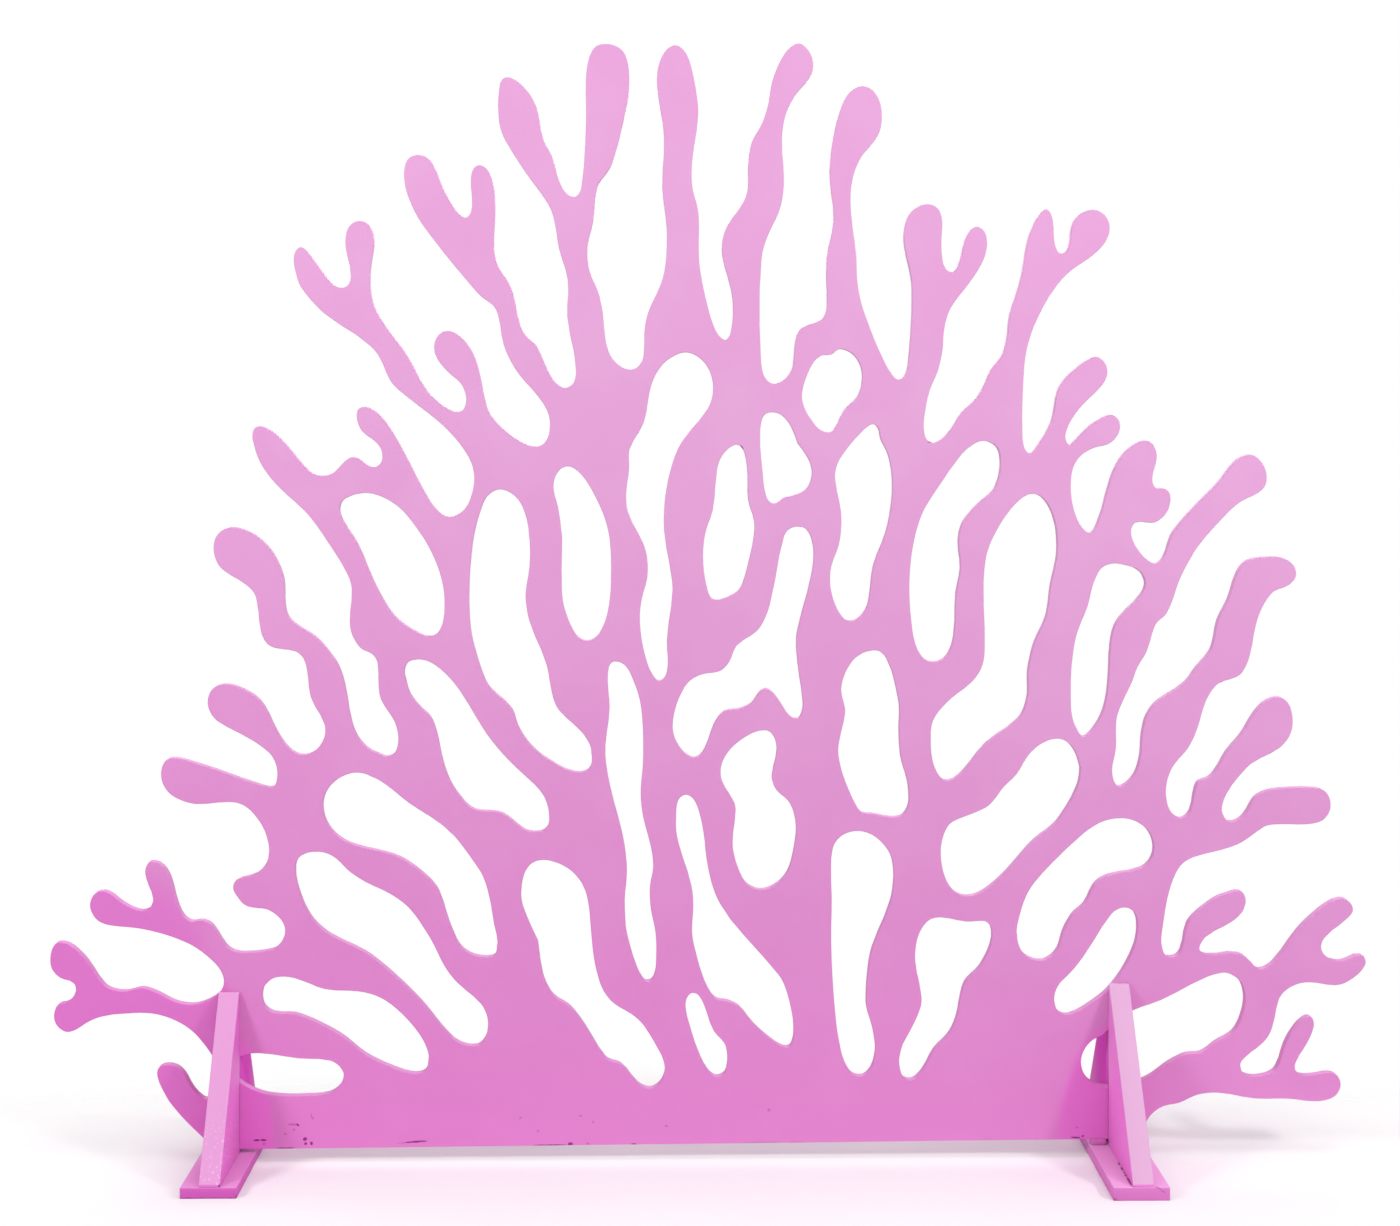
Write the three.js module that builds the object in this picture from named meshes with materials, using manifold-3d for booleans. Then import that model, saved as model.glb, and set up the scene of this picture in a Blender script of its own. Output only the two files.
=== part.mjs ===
// A flat sea fan, sawn from one painted sheet and held upright between triangular braces on two
// foot boards. Millimetres, +Z up, the fan faces -Y, and the floor is Z = 0.

import * as THREE from 'three';
import { mergeVertices } from 'three/addons/utils/BufferGeometryUtils.js';
import Module from 'manifold-3d';

const wasm = await Module();
wasm.setup();

// Driving dimensions.
const BOARD_THICKNESS = 18;
const GAP = 0.3;                 // between pieces that touch, and the width of a cut between limbs
const CURVE_STEPS = 12;          // samples between two outline points, before they are thinned
const OUTLINE_TOLERANCE = 1.1;   // how far a thinned outline may leave its curve
const CUT_OVERRUN = 8;           // how far each cut runs on past the branch it crosses
const EYE = new THREE.Vector3(-82, 1420, 0);  // where the outlines were drawn from: x, height
const EYE_DISTANCE = 3892;                    // and how far that is in front of the board

const FAN_PINK = 0xe597d4;
const BRACE_PINK = 0xe8a8da;
const FOOT_PINK = 0xd768be;

const FOOT_WIDTH = 100;
const BRACE_THICKNESS = 37.5;
const BRACE_TOE = 5;             // height of the blunt toe

// Each brace: its height over the foot, its reach out from the board, and the depth of its blunt tip.
const STANDS = [
  {
    side: 'left', footX: -892, footLength: 364, footThickness: 19.5, braceX: -890,
    front: { height: 296.7, reach: 172, tip: 6 },
    rear: { height: 296.7, reach: 166, tip: 6 },
  },
  {
    side: 'right', footX: 754, footLength: 434, footThickness: 23.5, braceX: 757.3,
    front: { height: 301.2, reach: 207, tip: 6 },
    rear: { height: 276.2, reach: 195, tip: 21.5 },
  },
];

// The offcut that packs up the board's straight bottom edge on the right foot.
const PACKER = { x: 720.5, width: 27, height: 10.5, footThickness: 23.5 };

// The fan's rim as [x, z], clockwise from the left end of its straight bottom edge to the right end.
const RIM = [
  // lowest left finger
  [-915, 24.5], [-940, 47], [-977, 86], [-1000, 112], [-1014, 137], [-1023, 160], [-1022, 174],
  [-1013, 183], [-998, 187], [-983, 183], [-970, 171], [-952, 141], [-931, 124], [-916, 133],
  // far left hook
  [-908, 153], [-910, 175], [-923, 197], [-935, 216], [-955, 240], [-980, 258], [-1010, 271],
  [-1040, 277], [-1085, 276], [-1125, 271], [-1153, 260], [-1173, 247], [-1189, 243], [-1203, 250],
  [-1212, 264], [-1212, 281], [-1204, 295], [-1188, 302], [-1177, 310], [-1173, 322], [-1177, 333],
  [-1190, 338], [-1203, 344], [-1216, 358], [-1220, 375], [-1217, 395], [-1208, 408], [-1193, 412],
  [-1178, 407], [-1162, 394], [-1143, 372], [-1128, 348], [-1113, 331], [-1095, 324], [-1073, 323],
  [-1048, 328], [-1025, 322], [-995, 306], [-970, 299], [-945, 299], [-920, 310], [-904, 322],
  [-901, 338], [-908, 357], [-928, 379], [-958, 401], [-1000, 419], [-1040, 430], [-1080, 437],
  [-1113, 440], [-1132, 448], [-1143, 462], [-1147, 478], [-1142, 493], [-1131, 503], [-1115, 506],
  [-1100, 498], [-1083, 485], [-1068, 477], [-1050, 471], [-1036, 475], [-1031, 487], [-1036, 503],
  [-1044, 528], [-1045, 544], [-1037, 557], [-1024, 560], [-1010, 553], [-998, 536], [-990, 510],
  [-981, 479], [-971, 460], [-957, 451], [-938, 452], [-922, 446], [-907, 426], [-890, 402],
  [-873, 394], [-850, 393], [-827, 396], [-805, 400], [-792, 413], [-788, 430], [-793, 445],
  // middle left fingers
  [-805, 458], [-822, 468], [-845, 471], [-862, 476], [-874, 489], [-883, 504], [-882, 517],
  [-872, 526], [-855, 531], [-838, 538], [-825, 550], [-818, 567], [-819, 590], [-828, 618],
  [-845, 643], [-864, 660], [-885, 666], [-920, 664], [-953, 663], [-977, 669], [-1000, 682],
  [-1014, 703], [-1016, 725], [-1009, 742], [-995, 750], [-975, 749], [-940, 738], [-900, 724],
  [-857, 710], [-824, 699], [-808, 698], [-803, 710], [-804, 732], [-813, 752], [-832, 769],
  [-858, 786], [-895, 805], [-917, 820], [-929, 840], [-930, 858], [-923, 874], [-908, 884],
  [-890, 886], [-868, 880], [-840, 864], [-826, 849], [-812, 822], [-797, 793], [-780, 770],
  [-762, 758], [-745, 757], [-728, 766], [-716, 785], [-715, 808], [-724, 827],
  // upper left fingers
  [-740, 858], [-745, 884], [-748, 912], [-754, 931], [-766, 943], [-785, 948], [-803, 950],
  [-819, 957], [-829, 971], [-835, 993], [-838, 1022], [-843, 1048], [-852, 1061], [-875, 1078],
  [-897, 1091], [-911, 1105], [-919, 1127], [-919, 1145], [-913, 1160], [-901, 1170], [-884, 1175],
  [-865, 1172], [-840, 1160], [-822, 1145], [-807, 1126], [-796, 1104], [-788, 1081], [-786, 1055],
  [-785, 1030], [-780, 1012], [-768, 999], [-750, 987], [-728, 972], [-707, 948], [-690, 925],
  [-679, 897], [-672, 865], [-668, 838], [-660, 806], [-650, 786], [-632, 767], [-613, 757],
  [-599, 753], [-586, 758], [-580, 773], [-580, 792], [-586, 814], [-600, 836], [-611, 855],
  [-615, 873], [-616, 905], [-620, 930], [-630, 941], [-647, 949], [-660, 966], [-668, 988],
  [-668, 1018], [-665, 1045], [-666, 1066], [-673, 1087], [-690, 1116], [-710, 1148], [-728, 1174],
  [-748, 1200], [-775, 1225], [-803, 1252], [-823, 1276], [-838, 1303], [-846, 1330], [-848, 1348],
  [-843, 1358], [-832, 1361], [-812, 1353], [-790, 1334], [-765, 1305], [-747, 1284], [-733, 1273],
  [-718, 1270], [-702, 1273], [-688, 1285], [-674, 1299], [-661, 1304], [-648, 1299], [-634, 1289],
  [-621, 1286], [-611, 1294], [-609, 1310], [-615, 1325], [-630, 1339], [-643, 1348], [-652, 1362],
  [-656, 1379], [-653, 1392], [-642, 1397], [-627, 1393], [-610, 1380], [-592, 1356], [-572, 1322],
  [-552, 1283], [-535, 1250], [-517, 1220], [-502, 1202], [-485, 1194], [-467, 1199], [-452, 1214],
  [-442, 1241], [-439, 1262], [-442, 1286], [-452, 1308], [-472, 1336], [-500, 1365], [-535, 1393],
  [-570, 1421], [-592, 1442], [-604, 1468], [-617, 1493], [-635, 1513], [-660, 1529], [-690, 1550],
  [-720, 1573], [-745, 1600], [-761, 1622], [-769, 1648], [-772, 1668], [-768, 1686], [-759, 1692],
  [-748, 1686], [-730, 1662], [-708, 1634], [-694, 1620], [-682, 1617], [-672, 1622], [-667, 1637],
  [-670, 1660], [-676, 1688], [-676, 1712], [-670, 1730], [-655, 1740], [-638, 1737], [-626, 1722],
  [-622, 1700], [-626, 1672], [-629, 1640], [-628, 1610], [-622, 1583], [-608, 1556], [-585, 1525],
  [-566, 1499], [-545, 1463], [-528, 1431], [-510, 1411], [-490, 1396], [-474, 1388], [-461, 1390],
  [-454, 1405], [-456, 1423], [-464, 1440], [-483, 1457], [-500, 1475], [-510, 1492], [-513, 1510],
  [-508, 1525], [-496, 1536], [-480, 1536], [-462, 1525], [-445, 1505], [-435, 1483], [-427, 1455],
  [-421, 1423], [-412, 1390], [-400, 1372], [-380, 1352], [-355, 1334], [-335, 1325], [-319, 1324],
  [-307, 1332], [-301, 1348], [-299, 1368], [-304, 1389],
  // crown
  [-322, 1417], [-348, 1446], [-368, 1475], [-383, 1507], [-391, 1540], [-396, 1570], [-404, 1584],
  [-422, 1597], [-448, 1625], [-480, 1665], [-513, 1705], [-540, 1742], [-558, 1778], [-567, 1808],
  [-568, 1836], [-562, 1854], [-549, 1862], [-532, 1861], [-517, 1849], [-506, 1827], [-495, 1800],
  [-480, 1772], [-466, 1753], [-454, 1747], [-446, 1755], [-443, 1775], [-445, 1805], [-444, 1828],
  [-437, 1841], [-427, 1844], [-415, 1836], [-405, 1816], [-400, 1788], [-399, 1755], [-401, 1712],
  [-400, 1678], [-392, 1653], [-376, 1629], [-365, 1603], [-360, 1575], [-352, 1545], [-340, 1525],
  [-325, 1512], [-313, 1490], [-300, 1460], [-288, 1442], [-272, 1432], [-257, 1439], [-251, 1457],
  [-254, 1490], [-261, 1527], [-267, 1565], [-267, 1605], [-266, 1632], [-274, 1660], [-283, 1693],
  [-288, 1728], [-297, 1761], [-312, 1787], [-337, 1820], [-360, 1856], [-385, 1897], [-393, 1925],
  [-394, 1960], [-392, 1990], [-387, 2003], [-377, 2007], [-360, 2000], [-338, 1978], [-323, 1950],
  [-316, 1922], [-309, 1887], [-295, 1861], [-285, 1826], [-275, 1801], [-263, 1788], [-250, 1787],
  [-242, 1799], [-239, 1830], [-236, 1880], [-232, 1930], [-233, 1975], [-231, 2020], [-224, 2050],
  [-213, 2065], [-198, 2069], [-178, 2066], [-163, 2055], [-154, 2032], [-152, 1998], [-154, 1965],
  [-166, 1920], [-177, 1875], [-184, 1845], [-195, 1826], [-209, 1807], [-215, 1778], [-219, 1735],
  [-227, 1705], [-229, 1677], [-224, 1645], [-208, 1606], [-201, 1573], [-197, 1533], [-190, 1500],
  [-178, 1480], [-158, 1467], [-143, 1467], [-130, 1478], [-125, 1500], [-124, 1537], [-117, 1572],
  [-101, 1606], [-88, 1643], [-83, 1690], [-84, 1745], [-91, 1800], [-89, 1840], [-88, 1900],
  [-94, 1942], [-100, 1985], [-100, 2018], [-92, 2045], [-79, 2062], [-65, 2067], [-51, 2058],
  [-41, 2040], [-33, 2010], [-26, 1970], [-24, 1935], [-30, 1890], [-36, 1840], [-34, 1800],
  [-26, 1770], [-22, 1735], [-23, 1690], [-20, 1648], [-10, 1600], [0, 1560], [13, 1531],
  [26, 1521], [34, 1530], [38, 1560], [39, 1595], [32, 1630], [22, 1665], [19, 1690], [25, 1722],
  [42, 1752], [60, 1777], [67, 1800], [68, 1845], [75, 1887], [93, 1920], [104, 1952], [113, 2000],
  [128, 2038], [145, 2062], [163, 2071], [178, 2061], [188, 2042], [188, 2018], [178, 2000],
  [157, 1975], [140, 1943], [132, 1905], [133, 1857], [135, 1810], [128, 1765], [107, 1718],
  [95, 1682], [93, 1640], [94, 1580], [93, 1520], [93, 1480], [99, 1453], [113, 1440], [133, 1446],
  // upper right fingers
  [148, 1465], [153, 1495], [156, 1522], [165, 1541], [185, 1550], [203, 1558], [212, 1573],
  [213, 1610], [213, 1670], [219, 1705], [226, 1742], [223, 1778], [219, 1810], [220, 1855],
  [229, 1912], [244, 1960], [260, 1983], [281, 1992], [300, 1984], [313, 1963], [317, 1937],
  [313, 1908], [300, 1886], [280, 1862], [268, 1838], [260, 1803], [260, 1755], [265, 1712],
  [270, 1670], [271, 1635], [280, 1585], [300, 1532], [322, 1480], [334, 1460], [347, 1447],
  [358, 1456], [364, 1478], [366, 1520], [369, 1575], [371, 1620], [365, 1658], [357, 1695],
  [357, 1728], [368, 1755], [388, 1770], [405, 1773], [421, 1765], [429, 1745], [428, 1705],
  [430, 1670], [437, 1652], [447, 1647], [456, 1657], [463, 1685], [473, 1713], [485, 1728],
  [496, 1731], [508, 1722], [513, 1702], [507, 1672], [490, 1642], [465, 1606], [444, 1578],
  [433, 1540], [430, 1503], [421, 1463], [407, 1430], [398, 1390], [395, 1358], [400, 1337],
  [410, 1330], [427, 1338], [445, 1358], [463, 1386], [488, 1410], [503, 1433], [517, 1464],
  [537, 1490], [547, 1522], [552, 1565], [567, 1613], [578, 1658], [584, 1698], [596, 1732],
  [611, 1756], [623, 1764], [632, 1755], [637, 1730], [639, 1700], [647, 1683], [655, 1683],
  [664, 1700], [668, 1732], [680, 1751], [698, 1761], [714, 1763], [730, 1755], [740, 1739],
  [740, 1718], [728, 1696], [703, 1673], [672, 1652], [645, 1625], [625, 1592], [602, 1551],
  [588, 1508], [582, 1470], [580, 1410], [579, 1345], [583, 1319], [591, 1311], [600, 1319],
  [615, 1344], [628, 1365], [637, 1400], [643, 1430], [658, 1452], [685, 1475], [707, 1488],
  [720, 1489], [733, 1477], [737, 1459], [728, 1438], [703, 1413], [680, 1387], [663, 1359],
  [659, 1338], [665, 1327], [676, 1336], [695, 1357], [720, 1374], [742, 1382], [755, 1376],
  [761, 1360], [753, 1339], [738, 1327], [712, 1320], [688, 1306], [674, 1285], [669, 1255],
  [671, 1222], [680, 1190], [693, 1169], [703, 1164], [713, 1177], [724, 1212], [735, 1250],
  [750, 1288], [767, 1313], [790, 1330], [807, 1334], [821, 1328], [829, 1308], [826, 1284],
  [821, 1263], [826, 1247], [842, 1245], [853, 1236], [854, 1217], [845, 1196], [827, 1182],
  [805, 1180], [790, 1181], [782, 1170], [784, 1150], [797, 1127], [813, 1111], [825, 1107],
  [836, 1115], [845, 1138], [855, 1163], [877, 1190], [905, 1221], [938, 1254], [955, 1274],
  [972, 1296], [990, 1306], [1008, 1307], [1024, 1295], [1034, 1273], [1032, 1250], [1018, 1236],
  // middle right fingers
  [985, 1219], [955, 1192], [930, 1162], [905, 1135], [887, 1104], [868, 1066], [857, 1032],
  [845, 1009], [828, 993], [818, 965], [808, 936], [795, 916], [784, 887], [765, 847], [755, 820],
  [753, 795], [753, 762], [747, 733], [748, 705], [756, 694], [771, 701], [786, 720], [795, 752],
  [798, 790], [806, 823], [823, 848], [850, 867], [880, 888], [900, 915], [925, 945], [933, 970],
  [938, 998], [955, 1032], [967, 1063], [977, 1093], [993, 1111], [1017, 1117], [1050, 1118],
  [1072, 1112], [1087, 1098], [1089, 1080], [1075, 1064], [1050, 1054], [1032, 1033], [1017, 1000],
  [1009, 960], [1000, 924], [987, 900], [968, 889], [944, 881], [925, 857], [912, 823], [904, 795],
  [888, 762], [862, 731], [849, 702], [847, 670], [856, 643], [872, 635], [886, 645], [893, 673],
  [902, 701], [922, 710], [938, 727], [955, 757], [985, 793], [1005, 826], [1027, 850], [1052, 858],
  [1073, 847], [1083, 820], [1080, 790], [1063, 765], [1035, 747], [1003, 730], [980, 703],
  [958, 673], [951, 645], [960, 629], [980, 633], [995, 650], [1010, 674], [1040, 687], [1085, 689],
  [1128, 688], [1147, 677], [1154, 660], [1151, 640], [1137, 625], [1110, 619], [1060, 619],
  [1033, 616], [1010, 600], [980, 582], [940, 569], [900, 559], [878, 547], [862, 523], [850, 485],
  // far right hooks and lowest right fingers
  [841, 433], [838, 400], [844, 380], [855, 378], [867, 384], [876, 415], [885, 444], [905, 463],
  [935, 486], [965, 496], [985, 496], [995, 482], [991, 460], [975, 442], [945, 425], [918, 407],
  [909, 388], [918, 382], [950, 382], [980, 382], [1000, 368], [1018, 355], [1038, 363], [1063, 393],
  [1095, 434], [1130, 465], [1155, 481], [1175, 483], [1192, 471], [1196, 458], [1187, 445],
  [1160, 423], [1140, 403], [1137, 386], [1148, 373], [1170, 369], [1198, 376], [1213, 375],
  [1220, 362], [1212, 346], [1190, 328], [1167, 319], [1140, 322], [1105, 324], [1078, 315],
  [1060, 298], [1051, 267], [1042, 233], [1028, 213], [1003, 193], [986, 175], [989, 161],
  [1005, 156], [1030, 159], [1046, 168], [1056, 194], [1068, 223], [1085, 249], [1100, 262],
  [1115, 262], [1123, 248], [1113, 217], [1097, 190], [1087, 168], [1093, 159], [1120, 158],
  [1150, 160], [1166, 151], [1173, 135], [1165, 115], [1145, 105], [1115, 103], [1075, 108],
  [1020, 108], [975, 114], [940, 120], [905, 116], [870, 101], [838, 94], [815, 75], [806, 57],
  [797, 42], [787, 35.2],
];

// The openings between the branches, each a closed ring of [x, z].
const OPENINGS = [
  [[-886, 177], [-873, 160], [-848, 143], [-815, 132], [-770, 129], [-730, 130], [-703, 134],
    [-686, 146], [-680, 161], [-686, 175], [-703, 187], [-730, 189], [-770, 193], [-810, 199],
    [-845, 202], [-872, 195]],
  [[-827, 308], [-824, 327], [-810, 340], [-785, 343], [-755, 335], [-715, 320], [-665, 317],
    [-625, 309], [-595, 293], [-555, 255], [-531, 220], [-523, 192], [-530, 173], [-550, 169],
    [-590, 181], [-637, 204], [-680, 238], [-725, 263], [-770, 280], [-805, 282], [-822, 293]],
  [[-760, 565], [-740, 573], [-715, 572], [-695, 562], [-670, 538], [-640, 518], [-597, 497],
    [-563, 473], [-540, 444], [-515, 404], [-498, 369], [-477, 338], [-445, 308], [-424, 288],
    [-414, 262], [-417, 236], [-430, 221], [-450, 220], [-472, 229], [-495, 252], [-527, 292],
    [-560, 327], [-595, 359], [-632, 389], [-665, 406], [-705, 427], [-735, 454], [-752, 485],
    [-762, 515], [-767, 545]],
  [[-716, 660], [-712, 682], [-700, 700], [-680, 714], [-655, 720], [-628, 713], [-600, 696],
    [-560, 664], [-515, 635], [-480, 607], [-455, 573], [-425, 532], [-412, 493], [-405, 455],
    [-400, 425], [-396, 405], [-401, 386], [-415, 383], [-440, 387], [-463, 403], [-482, 442],
    [-494, 480], [-507, 511], [-535, 540], [-575, 567], [-620, 581], [-660, 591], [-688, 606],
    [-708, 630]],
  [[-685, 1205], [-681, 1222], [-665, 1232], [-637, 1237], [-607, 1229], [-575, 1208],
    [-543, 1169], [-517, 1126], [-500, 1080], [-494, 1040], [-498, 995], [-508, 978],
    [-522, 974], [-547, 984], [-580, 1007], [-607, 1045], [-632, 1096], [-655, 1150],
    [-677, 1184]],
  [[-566, 908], [-560, 924], [-545, 929], [-525, 926], [-500, 910], [-472, 880], [-445, 838],
    [-413, 787], [-375, 742], [-335, 705], [-310, 675], [-301, 645], [-303, 623], [-315, 614],
    [-340, 615], [-360, 628], [-385, 647], [-410, 652], [-437, 655], [-462, 676], [-485, 714],
    [-497, 752], [-506, 794], [-518, 825], [-537, 844], [-556, 869], [-563, 892]],
  [[-395, 1243], [-377, 1240], [-358, 1225], [-344, 1196], [-337, 1155], [-337, 1100],
    [-344, 1050], [-337, 1000], [-318, 952], [-304, 915], [-297, 875], [-287, 842], [-265, 817],
    [-237, 790], [-222, 760], [-225, 731], [-240, 723], [-265, 727], [-300, 745], [-335, 775],
    [-356, 807], [-367, 838], [-388, 860], [-412, 884], [-430, 930], [-443, 980], [-447, 1040],
    [-445, 1100], [-438, 1160], [-427, 1203], [-414, 1231]],
  [[-292, 1250], [-287, 1270], [-275, 1284], [-260, 1285], [-240, 1270], [-218, 1235],
    [-200, 1197], [-189, 1155], [-186, 1100], [-188, 1043], [-197, 1000], [-212, 973],
    [-230, 965], [-247, 973], [-264, 1003], [-275, 1042], [-276, 1100], [-276, 1160],
    [-283, 1210]],
  [[-351, 500], [-347, 528], [-335, 549], [-315, 557], [-292, 554], [-262, 539], [-240, 514],
    [-229, 483], [-224, 440], [-221, 400], [-213, 353], [-200, 315], [-178, 289], [-145, 269],
    [-126, 251], [-110, 224], [-92, 194], [-87, 170], [-96, 149], [-113, 139], [-133, 146],
    [-155, 169], [-170, 185], [-192, 193], [-210, 217], [-237, 260], [-262, 291], [-290, 310],
    [-308, 340], [-315, 375], [-320, 408], [-336, 443], [-350, 482]],
  [[-190, 910], [-185, 922], [-172, 924], [-158, 915], [-143, 886], [-132, 850], [-127, 800],
    [-127, 735], [-131, 680], [-127, 640], [-112, 580], [-108, 545], [-114, 505], [-112, 465],
    [-104, 425], [-102, 385], [-105, 352], [-112, 339], [-122, 337], [-134, 354], [-147, 390],
    [-158, 435], [-160, 485], [-156, 535], [-161, 590], [-174, 645], [-188, 700], [-196, 757],
    [-192, 803], [-188, 840], [-191, 880]],
  [[-50, 1497], [-28, 1491], [-9, 1473], [2, 1445], [2, 1418], [-6, 1395], [-30, 1363],
    [-56, 1330], [-70, 1298], [-80, 1262], [-87, 1215], [-87, 1160], [-78, 1105], [-72, 1060],
    [-78, 1005], [-83, 955], [-81, 918], [-87, 896], [-98, 891], [-112, 907], [-127, 957],
    [-132, 1010], [-128, 1043], [-118, 1083], [-120, 1125], [-135, 1165], [-155, 1205],
    [-157, 1240], [-152, 1280], [-151, 1318], [-138, 1342], [-125, 1367], [-118, 1405],
    [-107, 1447], [-85, 1480]],
  [[-48, 677], [-60, 669], [-64, 648], [-64, 607], [-54, 567], [-38, 517], [-33, 475],
    [-35, 420], [-26, 378], [-8, 325], [8, 304], [30, 299], [50, 289], [77, 257], [100, 236],
    [125, 218], [142, 214], [150, 228], [151, 260], [143, 300], [130, 335], [100, 371],
    [65, 413], [27, 457], [5, 500], [-8, 553], [-15, 610], [-27, 658], [-37, 673]],
  [[-37, 309], [-46, 298], [-46, 277], [-36, 240], [-20, 195], [-2, 166], [10, 160], [23, 166],
    [29, 190], [24, 217], [7, 235], [-5, 263], [-17, 295], [-27, 308]],
  [[47, 1326], [28, 1315], [14, 1292], [8, 1250], [2, 1200], [-10, 1165], [-15, 1125],
    [-11, 1078], [-1, 1045], [10, 1040], [35, 1048], [52, 1060], [65, 1097], [78, 1155],
    [79, 1185], [68, 1223], [66, 1280], [58, 1318]],
  [[110, 1386], [98, 1380], [91, 1350], [94, 1300], [98, 1255], [105, 1225], [117, 1218],
    [135, 1229], [157, 1234], [177, 1247], [186, 1275], [178, 1302], [160, 1328], [147, 1360],
    [130, 1381]],
  [[237, 1503], [222, 1493], [203, 1491], [189, 1477], [172, 1437], [169, 1410], [185, 1373],
    [203, 1354], [220, 1350], [231, 1362], [247, 1393], [268, 1413], [278, 1440], [276, 1472],
    [260, 1495]],
  [[300, 1364], [285, 1355], [260, 1327], [238, 1298], [230, 1270], [237, 1228], [242, 1190],
    [237, 1140], [223, 1100], [222, 1060], [235, 1020], [250, 1002], [268, 1004], [286, 1024],
    [294, 1060], [300, 1105], [322, 1163], [333, 1220], [334, 1270], [326, 1310], [313, 1337],
    [308, 1358]],
  [[157, 1174], [140, 1165], [129, 1130], [118, 1073], [105, 1017], [87, 983], [65, 967],
    [47, 953], [33, 923], [17, 907], [-15, 901], [-40, 888], [-58, 860], [-69, 825], [-70, 793],
    [-55, 763], [-33, 749], [-18, 757], [-5, 786], [8, 817], [25, 835], [50, 839], [73, 849],
    [88, 869], [100, 876], [113, 869], [132, 843], [147, 824], [160, 821], [168, 837],
    [167, 870], [159, 925], [157, 970], [170, 1027], [185, 1087], [189, 1125], [182, 1160],
    [170, 1173]],
  [[93, 796], [70, 788], [37, 763], [20, 735], [19, 708], [32, 684], [45, 655], [42, 620],
    [40, 585], [48, 548], [65, 516], [90, 505], [118, 514], [140, 538], [153, 585], [156, 625],
    [145, 662], [120, 687], [112, 710], [118, 743], [120, 773], [108, 794]],
  [[300, 944], [275, 936], [257, 917], [244, 888], [242, 865], [249, 832], [242, 795],
    [236, 760], [243, 720], [262, 672], [278, 647], [300, 644], [335, 638], [353, 642],
    [364, 660], [363, 700], [350, 750], [347, 800], [347, 850], [335, 895], [325, 928],
    [313, 942]],
  [[272, 609], [245, 602], [228, 583], [223, 545], [224, 480], [223, 400], [228, 300],
    [236, 228], [248, 182], [262, 163], [280, 160], [295, 175], [303, 207], [298, 245],
    [287, 285], [288, 340], [295, 388], [314, 440], [331, 482], [337, 525], [333, 562],
    [317, 587], [296, 603]],
  [[427, 448], [405, 443], [386, 417], [379, 375], [385, 330], [391, 292], [377, 252],
    [353, 205], [350, 172], [358, 155], [372, 153], [390, 170], [412, 208], [440, 238],
    [453, 267], [461, 305], [470, 333], [495, 359], [515, 397], [519, 422], [512, 439],
    [475, 440]],
  [[505, 1333], [480, 1322], [457, 1297], [420, 1244], [393, 1200], [377, 1148], [369, 1085],
    [370, 1020], [380, 955], [395, 930], [413, 925], [432, 933], [446, 960], [451, 1010],
    [453, 1055], [461, 1100], [457, 1150], [465, 1183], [495, 1219], [523, 1245], [535, 1290],
    [528, 1322]],
  [[592, 1234], [572, 1222], [545, 1190], [515, 1132], [507, 1080], [507, 1010], [509, 955],
    [503, 913], [482, 883], [443, 852], [413, 815], [408, 775], [415, 728], [430, 707],
    [450, 709], [475, 734], [505, 771], [545, 802], [572, 824], [585, 860], [586, 905],
    [598, 960], [620, 1010], [628, 1065], [640, 1125], [637, 1180], [622, 1217], [607, 1232]],
  [[638, 779], [612, 769], [590, 749], [568, 714], [543, 689], [515, 655], [475, 637],
    [443, 621], [429, 590], [428, 550], [440, 512], [458, 495], [485, 493], [520, 513],
    [560, 552], [600, 597], [637, 626], [657, 655], [678, 695], [683, 730], [670, 763],
    [655, 777]],
  [[758, 631], [728, 625], [695, 605], [650, 563], [610, 523], [588, 492], [572, 445],
    [568, 415], [577, 387], [597, 374], [620, 374], [640, 392], [652, 427], [670, 458],
    [690, 476], [712, 515], [735, 529], [770, 536], [803, 546], [818, 567], [818, 592],
    [805, 615], [783, 628]],
  [[768, 465], [750, 458], [733, 437], [705, 392], [673, 350], [645, 320], [638, 295],
    [645, 276], [665, 272], [695, 289], [725, 309], [752, 339], [776, 380], [788, 415],
    [788, 448], [781, 461]],
  [[750, 1105], [727, 1097], [712, 1070], [700, 1025], [683, 983], [674, 945], [672, 890],
    [669, 850], [674, 812], [690, 787], [708, 802], [727, 838], [736, 895], [740, 960],
    [750, 997], [775, 1027], [798, 1052], [804, 1070], [795, 1090], [775, 1100]],
  [[957, 343], [925, 336], [880, 314], [833, 291], [781, 272], [752, 253], [730, 230],
    [707, 217], [692, 197], [688, 174], [697, 153], [717, 141], [750, 138], [785, 145],
    [815, 158], [847, 181], [880, 197], [910, 201], [937, 220], [967, 238], [981, 262],
    [989, 298], [983, 326], [971, 338]],
];

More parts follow.
